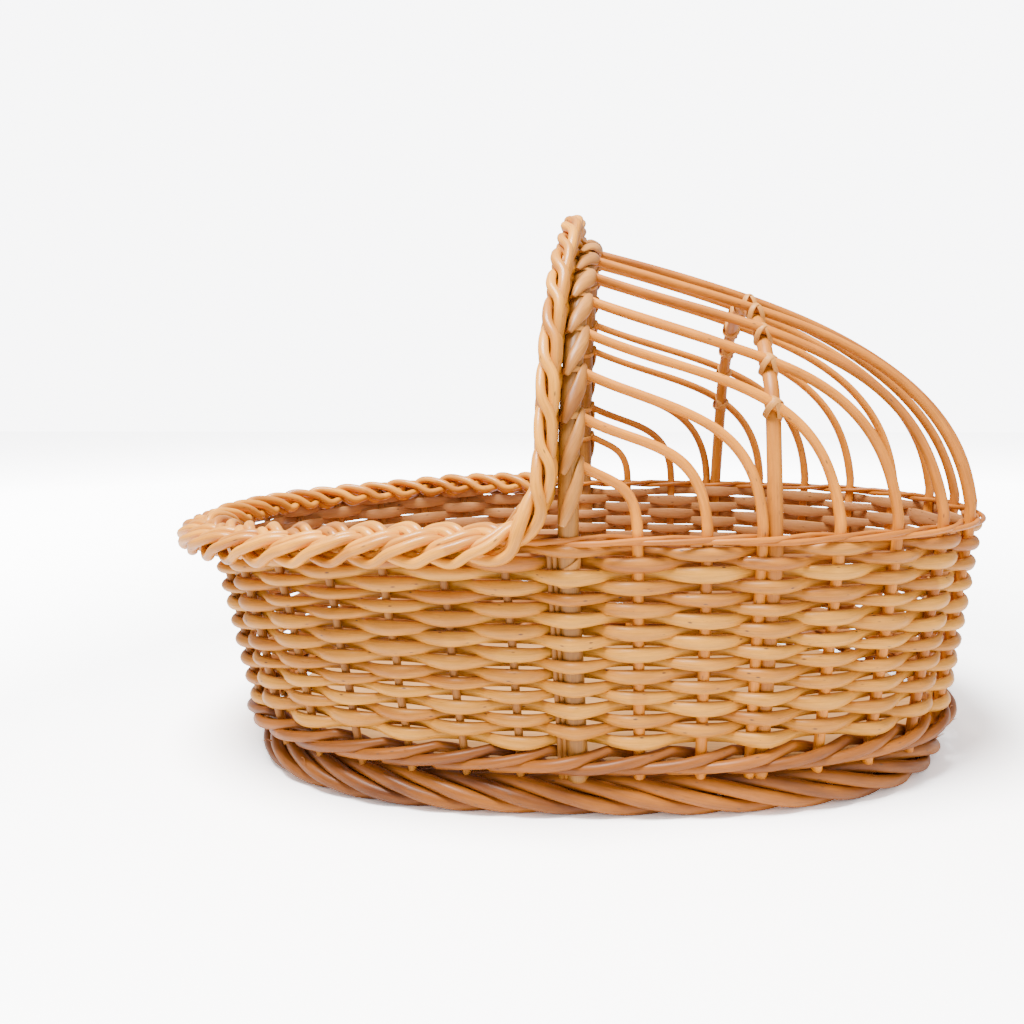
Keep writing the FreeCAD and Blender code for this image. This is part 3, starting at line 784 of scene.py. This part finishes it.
def archPoint(angle, halfWidth, base, apex, x):
    power = 2 / hood["archPower"]
    c, s = np.cos(angle), np.sin(angle)
    y = -halfWidth * np.sign(c) * np.abs(c) ** power
    z = base + (apex - base) * np.abs(s) ** power
    share = (z - basket["rimHeight"]) / (basket["height"] - basket["rimHeight"])
    return np.stack([x + hood["archLean"] * share ** 3, y, z], -1)


def mirrored(points):
    return points * np.array([1.0, -1.0, 1.0])


hoopX = float(rimPoint(halfStations)[0])
hoopLegX = float(wallPoint(float(halfStations), 100.0)[0])
braidTop = basket["height"] - hood["braidHalfWidth"]
hoopApex = braidTop - hood["hoopDrop"]
hoopHalfWidth = float(-rimPoint(halfStations)[1]) + hood["hoopOutset"]
archBase = basket["rimHeight"] + hood["baseLift"]


def archTable(halfWidth, base, apex, x):
    angles = math.pi / 2 * (1 - np.linspace(0, 1, 601))
    points = archPoint(angles, halfWidth, base, apex, x)
    return points, runLengths(points)


hoopTable = archTable(hoopHalfWidth, archBase, hoopApex, hoopX)
hoopLength = hoopTable[1][-1]
rodPitch = hoopLength / (halfStations + hood["endShare"])


def alongHoop(length):
    # a point of the front hoop's -Y half at a distance from its crown, its outward and downward directions
    points, lengths = hoopTable
    here, above, below = pointsAt([length, max(0.0, length - 2), min(hoopLength, length + 2)],
                                  lengths, points)
    down = unit(below - above)
    return here, unit(np.array([0.0, down[2], -down[1]])), down


def frontHoopPath():
    leg = straightLeg(halfStations, stakeFoot(halfStations), 100.0, 5)
    angles = np.array([0.12, 0.35, 0.6, 0.85, 1.1, 1.35])
    arch = archPoint(angles, hoopHalfWidth, archBase, hoopApex, hoopLegX)
    near = joined([leg, arch])
    crown = archPoint(np.array([math.pi / 2]), hoopHalfWidth, archBase, hoopApex, hoopLegX)
    return smoothPath(joined([near, crown * np.array([1, 0, 1]), mirrored(near[::-1])]),
                      hood["hoopSamples"])


def stationOfHoodRod(k):
    if k != weave["ribStation"]:
        return float(k)
    return k + (weave["ribRadius"] + weave["hoodStakeRadius"]) / stationSpacing


def hoodControls(k):
    start = alongHoop(rodPitch * k)[0] + np.array([weave["hoopRadius"] - hood["seat"], 0, 0])
    land, out = wall(np.array([stationOfHoodRod(k)]), 110.0)
    land, out = land[0], out[0]
    reach = np.linalg.norm(start - land)
    fall = math.radians(hood["fall"] + hood["fallStep"] * k)
    ahead = np.array([math.cos(fall), 0, -math.sin(fall)]) * (hood["handle"] * reach)
    leave = start + ahead + np.array([0, 0.3 * (land[1] - start[1]), 0])
    rise = (hood["rise"] + hood["riseStep"] * k) * reach
    arrive = land + np.array([0, 0, rise]) - out * hood["tuck"]
    return start, leave, arrive, land


def bezier(controls, t):
    a, b, c, d = controls
    t = np.asarray(t, float)[..., None]
    u = 1 - t
    return a * u ** 3 + b * 3 * u * u * t + c * 3 * u * t * t + d * t ** 3


def hoodRod(k, side):
    start, leave, arrive, land = hoodControls(k)
    curve = bezier((land, arrive, leave, start), np.linspace(0, 1, 60))
    station = stationOfHoodRod(k)
    leg = straightLeg(station, stakeFoot(station), 102.0, 14)
    n = hood["rodSamples"]
    share = np.linspace(0, 1, n)
    points = smoothPath(joined([leg, curve[1:]]), n)
    free = np.clip((points[:, 2] - 112) / 20, 0, 1) * np.sin(math.pi * share)
    points[:, 1] += wander(n, 45, 0.7) * free
    points[:, 2] += wander(n, 45, 0.4) * free
    points = points * np.array([1, side, 1])
    climb = np.clip((share - 0.35) / 0.65, 0, 1)
    radius = weave["hoodStakeRadius"] + 0.35 - climb * 0.3
    radius = radius * (1 + wander(n, 12, 0.02))
    tone = np.clip(rng.uniform(0, 1) + wander(n, 40, 0.12), 0, 1)
    return {"points": points, "scale": radius, "tone": tone, "offset": k * 2.3 + side}


def hoodRods():
    rods = [hoodRod(0, 1)]
    for k in range(1, halfStations):
        rods.append(hoodRod(k, 1))
        rods.append(hoodRod(k, -1))
    return rods


def crossing(k, x):
    # where hood rod k passes the plane of the rib hoop, and its direction there
    start, leave, arrive, land = hoodControls(k)
    curve = bezier((start, leave, arrive, land), np.linspace(0, 1, 800))
    n = int(np.argmax(curve[:, 0] >= x))
    return curve[n], unit(curve[n + 4] - curve[n - 4])


ribX = float(rimPoint(weave["ribStation"])[0]) + hood["ribAhead"]


def ribInner():
    drop = weave["ribRadius"] + weave["hoodStakeRadius"] - 0.15
    outer = [crossing(k, ribX)[0] for k in range(weave["ribStation"])]
    chain = [mirrored(outer[1])] + outer
    inner = []
    for n in range(1, len(chain)):
        along = unit(chain[min(len(chain) - 1, n + 1)] - chain[n - 1])
        inward = np.array([0, -along[2], along[1]])
        inner.append(chain[n] + inward * (-drop if inward[2] > 0 else drop))
    return inner[::-1]


def ribPath():
    inner = ribInner()
    leg = straightLeg(weave["ribStation"], stakeFoot(weave["ribStation"]), 104.0, 6)
    near = joined([leg, np.array(inner[:-1])])
    crown = inner[-1] * np.array([1, 0, 1])
    return smoothPath(joined([near, [crown], mirrored(near[::-1])]), hood["ribSamples"])


def lashingLoops():
    # two split strips that cross over each hood rod and go round the rib hoop
    rods = []
    inner = ribInner()
    top = weave["hoodStakeRadius"] * 2 + weave["ribRadius"] + 0.1
    under = weave["ribRadius"] + 0.2
    wide = (weave["ribRadius"] + 0.5) * 1.35
    turn = np.linspace(0, 2 * math.pi, hood["lashSamples"], endpoint=False)
    lift = np.where(np.sin(turn) > 0, top, under) * np.sin(turn)
    scale = np.stack([np.full(len(turn), hood["skeinThick"]), np.full(len(turn), hood["skeinWidth"])], 1)
    for n, centre in enumerate(inner):
        k = len(inner) - 1 - n
        point, ahead = crossing(k, ribX)
        out = unit(np.array([0, point[1] - centre[1], point[2] - centre[2]]))
        along = np.array([0, out[2], -out[1]])
        for side in ((1,) if k == 0 else (1, -1)):
            for lean in (hood["lashLean"], -hood["lashLean"]):
                across = unit(along + ahead * lean)
                points = centre + across * (wide * np.cos(turn))[:, None] + out * lift[:, None]
                up = unit(points - centre)
                if side < 0:
                    points, up = mirrored(points)[::-1], mirrored(up)[::-1]
                rods.append({"points": points, "up": up, "closed": True, "scale": scale,
                             "section": flatSection, "tone": rng.uniform(0, 1), "offset": n + lean})
    return rods


# where a turned-down end passes: pitches along the hoop, then how far behind and outside it
turndownPath = ((-0.12, 1.0, -0.2), (0.1, 1.0, 0.3), (0.45, 0.8, 0.72), (0.85, 0.2, 1.05),
                (1.22, -0.3, 1.0))


def turndownRod(k, side):
    # the flattened end of a hood rod, turned down the back of the hoop over the next one
    thick, tipThick = hood["turndownThick"], hood["turndownTipThick"]
    reach = weave["hoopRadius"] + thick / 2
    n = hood["turndownSamples"]

    def onHoop(share):
        return alongHoop(min(hoopLength - 0.5, max(0.0, rodPitch * (k + share))))

    controls = []
    for share, back, up in turndownPath:
        here, out, down = onHoop(share)
        controls.append(here + np.array([reach * back - hood["seat"], 0, 0]) + out * reach * up)
    points = smoothPath(controls, n)
    centre = np.array([onHoop(share)[0]
                       for share in np.linspace(turndownPath[0][0], turndownPath[-1][0], n)])
    up = unit(points - centre)
    leaf = np.sin(math.pi * np.clip(np.linspace(0, 1, n) * 0.86 + 0.13, 0, 1)) ** 0.7
    broad, tip = hood["turndownWidth"] * rng.uniform(0.9, 1.1), hood["turndownTip"]
    scale = np.stack([tipThick + (thick - tipThick) * leaf, tip + (broad - tip) * leaf], 1)
    if side < 0:
        points, up = mirrored(points), mirrored(up)
    tone = np.clip(rng.uniform(0, 0.8) + wander(n, 14, 0.1), 0, 1)
    return {"points": points, "up": up, "scale": scale, "section": halfRoundSection, "tone": tone,
            "offset": k * 3.7 + side}


def wrapStrip(path, start, length, turns, radius, width, tone):
    # a split strip wound round a rod, between two places along it
    steps = max(16, int(turns * 26))
    s = np.linspace(0, 1, steps)
    centre = pointsAt(start + s * length, runLengths(path), path)
    along = unit(np.gradient(centre, axis=0) + 1e-9)
    side = unit(np.cross(along, np.array([1.0, 0.0, 0.0])))
    other = np.cross(along, side)
    angle = 2 * math.pi * turns * s + 0.7
    around = side * np.cos(angle)[:, None] + other * np.sin(angle)[:, None]
    points = centre + around * radius
    ends = np.clip(np.minimum(s, 1 - s) * turns * 6, 0.35, 1)
    scale = np.stack([np.full(steps, hood["skeinThick"]), width * ends], 1)
    return {"points": points, "up": around, "scale": scale, "section": flatSection, "tone": tone,
            "offset": start * 0.13}


def lengthAt(path, height, near):
    # distance along a path to where it first reaches a height, from either end
    line = path if near else path[::-1]
    return float(np.interp(height, line[:60, 2], runLengths(line)[:60]))


def postStrips(path):
    # on each leg a tight band at the rim and a loose turn above it, then one turn below each rod
    radius = weave["hoopRadius"] + hood["skeinThick"] / 2 - 0.05
    rods = []
    for near in (True, False):
        line = path if near else path[::-1]
        at = lengthAt(path, basket["rimHeight"] + 5.5, near)
        rods.append(wrapStrip(line, at + 1.8, 3.6, 2.1, radius, 3.7, 0.15 if near else 0.4))
        at = lengthAt(path, basket["rimHeight"] + 15, near)
        rods.append(wrapStrip(line, at, 15 if near else 12, 0.9, radius, 4.4 if near else 2.8, 0.1))
        total = float(np.sum(np.linalg.norm(np.diff(line, axis=0), axis=1)))
        for k in range(1, halfStations):
            if near and k > halfStations - 2:
                continue
            at = total / 2 - rodPitch * k - 2.5
            rods.append(wrapStrip(line, at, 4.0, 1.15, radius, hood["skeinWidth"], rng.uniform(0, 1)))
    return rods


print("basket: bending the hood")
sweep(hoodRods(), "hood_long_rods", finishes["hood"], ["hood_rods"])
hoopPath = frontHoopPath()
hoopTone = np.clip(0.5 + wander(len(hoopPath), 50, 0.2), 0, 1)
hoopSize = weave["hoopRadius"] * (1 + wander(len(hoopPath), 40, 0.015))
sweep([{"points": hoopPath, "scale": hoopSize, "sides": 20, "tone": hoopTone, "offset": 4.0}],
      "front_hoop_rod", finishes["hoop"], ["front_hoop"])
sweep([{"points": ribPath(), "scale": weave["ribRadius"], "sides": 16, "tone": 0.4, "offset": 9.0}],
      "rib_hoop_rod", finishes["rib"], ["rib_hoop"])
sweep(lashingLoops(), "rib_hoop_lashings", finishes["skein"], ["rib_lashings"])
turned = [turndownRod(k, side) for k in range(halfStations) for side in (1, -1)]
sweep(turned, "turned_down_ends", finishes["turndown"], ["rod_turndowns"])
sweep(postStrips(hoopPath), "hoop_skein_bands", finishes["skein"], ["post_bands"])


# ---- the plaited border round the rim and the front hoop

plait = {
    "strands": 5,
    "waves": 10,
    "rodRadius": 2.1,
    "halfWidth": 12.6, "archHalfWidth": 10.4,
    "lift": 3.2, "archLift": 2.6,
    "tilt": 24.0,
    "innerFall": 6.0, "outerFall": 2.0,   # how far the edges of the plait curl down
    "overhangFoot": 1.8, "overhangSide": 0.5,
    "rimLift": 3.3,
    "archFrom": 0.22, "archOutset": 3.6,    # where the arch part starts, and how far outside the hoop
    "rimTo": 1.35,          # stakes left between the hoop and the end of the rim part
    "handle": 0.42,         # how softly the rim turns up into the arch
    "flatness": 1.6,        # how long a strand stays over or under
    "steps": 120, "turnSteps": 40,
    "samples": 760,
}


def braidCentre():
    # closed centre line with its outward direction and its share of rim
    half, steps = halfStations, plait["steps"]
    station = np.linspace(2 * half, half + plait["rimTo"], steps + 1)
    share = (station - half) / half
    over = plait["overhangSide"] + (plait["overhangFoot"] - plait["overhangSide"]) * share ** 3
    rim, rimOut = wall(station, basket["rimHeight"], basket["wallInset"] + over)
    rim[:, 2] += plait["rimLift"]
    archX = hoopX - weave["hoopRadius"] - plait["archLift"] - plait["rodRadius"] + hood["seat"]
    angle = np.linspace(plait["archFrom"], math.pi / 2, steps + 1)
    wide = hoopHalfWidth + plait["archOutset"]
    arch = archPoint(angle, wide, archBase, braidTop, archX)
    slope = unit(archPoint(angle + 0.001, wide, archBase, braidTop, archX) - arch)
    archOut = np.stack([np.zeros(steps + 1), -slope[:, 2], slope[:, 1]], 1)
    run, rise = unit(rim[-1] - rim[-2]), unit(arch[1] - arch[0])
    handle = plait["handle"] * np.linalg.norm(rim[-1] - arch[0])
    t = np.arange(1, plait["turnSteps"]) / float(plait["turnSteps"])
    turn = bezier((rim[-1], rim[-1] + run * handle, arch[0] - rise * handle, arch[0]), t)
    turnOut = unit(rimOut[-1] * (1 - t)[:, None] + archOut[0] * t[:, None])
    points = joined([rim, turn, arch])
    outs = joined([rimOut, turnOut, archOut])
    shares = joined([np.ones(steps + 1), 1 - t * t * (3 - 2 * t), np.zeros(steps + 1)])
    points = joined([points, mirrored(points[1:-1][::-1]), points[:1]])
    outs = joined([outs, mirrored(outs[1:-1][::-1]), outs[:1]])
    shares = joined([shares, shares[1:-1][::-1], shares[:1]])
    return points, outs, shares, runLengths(points)


def braidFrames():
    points, outs, shares, lengths = braidCentre()
    at = np.linspace(0, lengths[-1], plait["samples"], endpoint=False)
    centre, out = pointsAt(at, lengths, points), pointsAt(at, lengths, outs)
    along = unit(np.roll(centre, -1, axis=0) - np.roll(centre, 1, axis=0))
    out = unit(out - along * np.sum(out * along, axis=1, keepdims=True))
    return at, lengths[-1], centre, along, out, np.cross(out, along), np.interp(at, lengths, shares)


def between(archValue, rimValue, share):
    return archValue + share * (rimValue - archValue)


def braidRod(strand, side):
    at, total, centre, along, out, upper, share = braidFrames()
    n = plait["samples"]
    phase = 2 * math.pi * (plait["waves"] * at / total + strand / plait["strands"])
    phase = phase + loopWander(n, 14, 0.05)
    swing = between(plait["archHalfWidth"], plait["halfWidth"], share) - 2 * plait["rodRadius"]
    lift = between(plait["archLift"], plait["lift"], share)
    across = swing * np.sin(phase)
    slope = swing * np.cos(phase) * 2 * math.pi * plait["waves"] / total
    up = -lift * np.tanh(plait["flatness"] * np.sin(2 * phase)) / math.tanh(plait["flatness"])
    turn = 1 / np.sqrt(1 + slope ** 2)
    shift = side * plait["rodRadius"] * (1 + loopWander(n, 12, 0.05))
    tilt = np.radians(plait["tilt"]) * share
    lateral = out * np.cos(tilt)[:, None] - upper * np.sin(tilt)[:, None]
    normal = upper * np.cos(tilt)[:, None] + out * np.sin(tilt)[:, None]
    points = centre + along * (-shift * slope * turn)[:, None] + lateral * (across + shift * turn)[:, None]
    fall = np.where(across < 0, plait["innerFall"], plait["outerFall"]) * share + 0.6 * (1 - share)
    up = up - fall * (across / swing) ** 2
    points = points + normal * (up + loopWander(n, 20, 0.18))[:, None]
    radius = plait["rodRadius"] * (1.0 + loopWander(n, 8, 0.05))
    tone = np.clip(patchTones(n, 9) * 0.8 + 0.1 + loopWander(n, 20, 0.08), 0, 1)
    return {"points": points, "up": normal, "closed": True, "scale": radius, "sides": 12, "tone": tone,
            "offset": strand * 2.7 + side}


print("basket: plaiting the border")
for strand in range(plait["strands"]):
    pair = [braidRod(strand, side) for side in (-1, 1)]
    sweep(pair, "plait_strand_%d" % (strand + 1), finishes["braid"],
          ["rim_braid_%d" % (strand + 1)])
rimWale = [waleRod(n, -halfStations - 1.4, halfStations + 1.4, basket["rimHeight"] + 0.2,
                   radius=1.15, rise=1.1, clearance=0.3, count=640) for n in range(3)]
sweep(rimWale, "rim_waling", finishes["wale"], ["rim_wale"])


# ---- floor, lights, camera

stageSizes = {
    "floorSize": 6.0,
    "floorTone": 0.9,
    "floorShown": 2.3, "farShown": 9.0,     # how bright the floor looks, near and far
    "nearReach": 0.3, "farReach": 1.3,
    "airStrength": 0.85,                    # light from the air, and how bright it looks
    "airShown": 8.0,
}
lamps = {
    "keyLight": {"place": (-0.25, -0.3, 1.2), "size": 0.6, "power": 56},
    "fillLight": {"place": (0.9, -0.9, 0.6), "size": 1.0, "power": 5},
}
lampTarget = (0, 0, 0.1)
cameraSizes = {
    "lens": 30.06, "sensor": 36,
    "shiftX": -0.0801, "shiftY": -0.0933,
    "nearest": 0.02,
    "place": (0.0053, -0.4235, 0.1652),     # x from the middle of the stakes' oval
    "look": (-0.02, 1, -0.03),
}


def makeStage():
    mesh = bpy.data.meshes.new("floorMesh")
    half = stageSizes["floorSize"] / 2
    corners = [(-half, -half, 0), (half, -half, 0), (half, half, 0), (-half, half, 0)]
    mesh.from_pydata(corners, [], [(0, 1, 2, 3)])
    floor = bpy.data.objects.new("studio_floor", mesh)
    bpy.context.scene.collection.objects.link(floor)
    material = bpy.data.materials.new("studioFloor")
    material.use_nodes = True
    tree = material.node_tree
    shader = tree.nodes["Principled BSDF"]
    seen = addNode(tree, "ShaderNodeLightPath").outputs["Is Camera Ray"]
    place = addNode(tree, "ShaderNodeNewGeometry").outputs["Position"]
    far = addNode(tree, "ShaderNodeVectorMath", {0: place}, operation="LENGTH").outputs["Value"]
    shown = addNode(tree, "ShaderNodeMapRange", {
        0: far, 1: stageSizes["nearReach"], 2: stageSizes["farReach"],
        3: stageSizes["floorShown"], 4: stageSizes["farShown"]}).outputs[0]
    pale = addNode(tree, "ShaderNodeCombineColor", {0: shown, 1: shown, 2: shown}).outputs[0]
    low = stageSizes["floorTone"]
    tree.links.new(mixColour(tree, seen, (low, low, low), pale), shader.inputs["Base Color"])
    shader.inputs["Roughness"].default_value = 0.6
    mesh.materials.append(material)


def areaLight(name, place, size, power):
    light = bpy.data.lights.new(name, "AREA")
    light.shape = "DISK"
    light.size = size
    light.energy = power
    lamp = bpy.data.objects.new(name, light)
    bpy.context.scene.collection.objects.link(lamp)
    lamp.location = place
    lamp.rotation_euler = (Vector(lampTarget) - Vector(place)).to_track_quat("-Z", "Y").to_euler()


def makeLights():
    world = bpy.data.worlds.new("studioAir")
    bpy.context.scene.world = world
    world.use_nodes = True
    air = world.node_tree.nodes["Background"]
    air.inputs[0].default_value = (0.98, 0.98, 1.0, 1)
    seen = addNode(world.node_tree, "ShaderNodeLightPath").outputs["Is Camera Ray"]
    shown = addNode(world.node_tree, "ShaderNodeMapRange", {
        0: seen, 3: stageSizes["airStrength"], 4: stageSizes["airShown"]})
    world.node_tree.links.new(shown.outputs[0], air.inputs[1])
    for name, lamp in lamps.items():
        areaLight(name, **lamp)


def makeCamera():
    camera = bpy.data.cameras.new("studioCamera")
    camera.lens = cameraSizes["lens"]
    camera.sensor_width = cameraSizes["sensor"]
    camera.shift_x = cameraSizes["shiftX"]
    camera.shift_y = cameraSizes["shiftY"]
    camera.clip_start = cameraSizes["nearest"]
    seat = bpy.data.objects.new("studioCamera", camera)
    bpy.context.scene.collection.objects.link(seat)
    x, y, z = cameraSizes["place"]
    seat.location = (shiftX * basket["mm"] + x, y, z)
    seat.rotation_euler = Vector(cameraSizes["look"]).to_track_quat("-Z", "Y").to_euler()
    bpy.context.scene.camera = seat


print("basket: floor, lights and camera")
makeStage()
makeLights()
makeCamera()
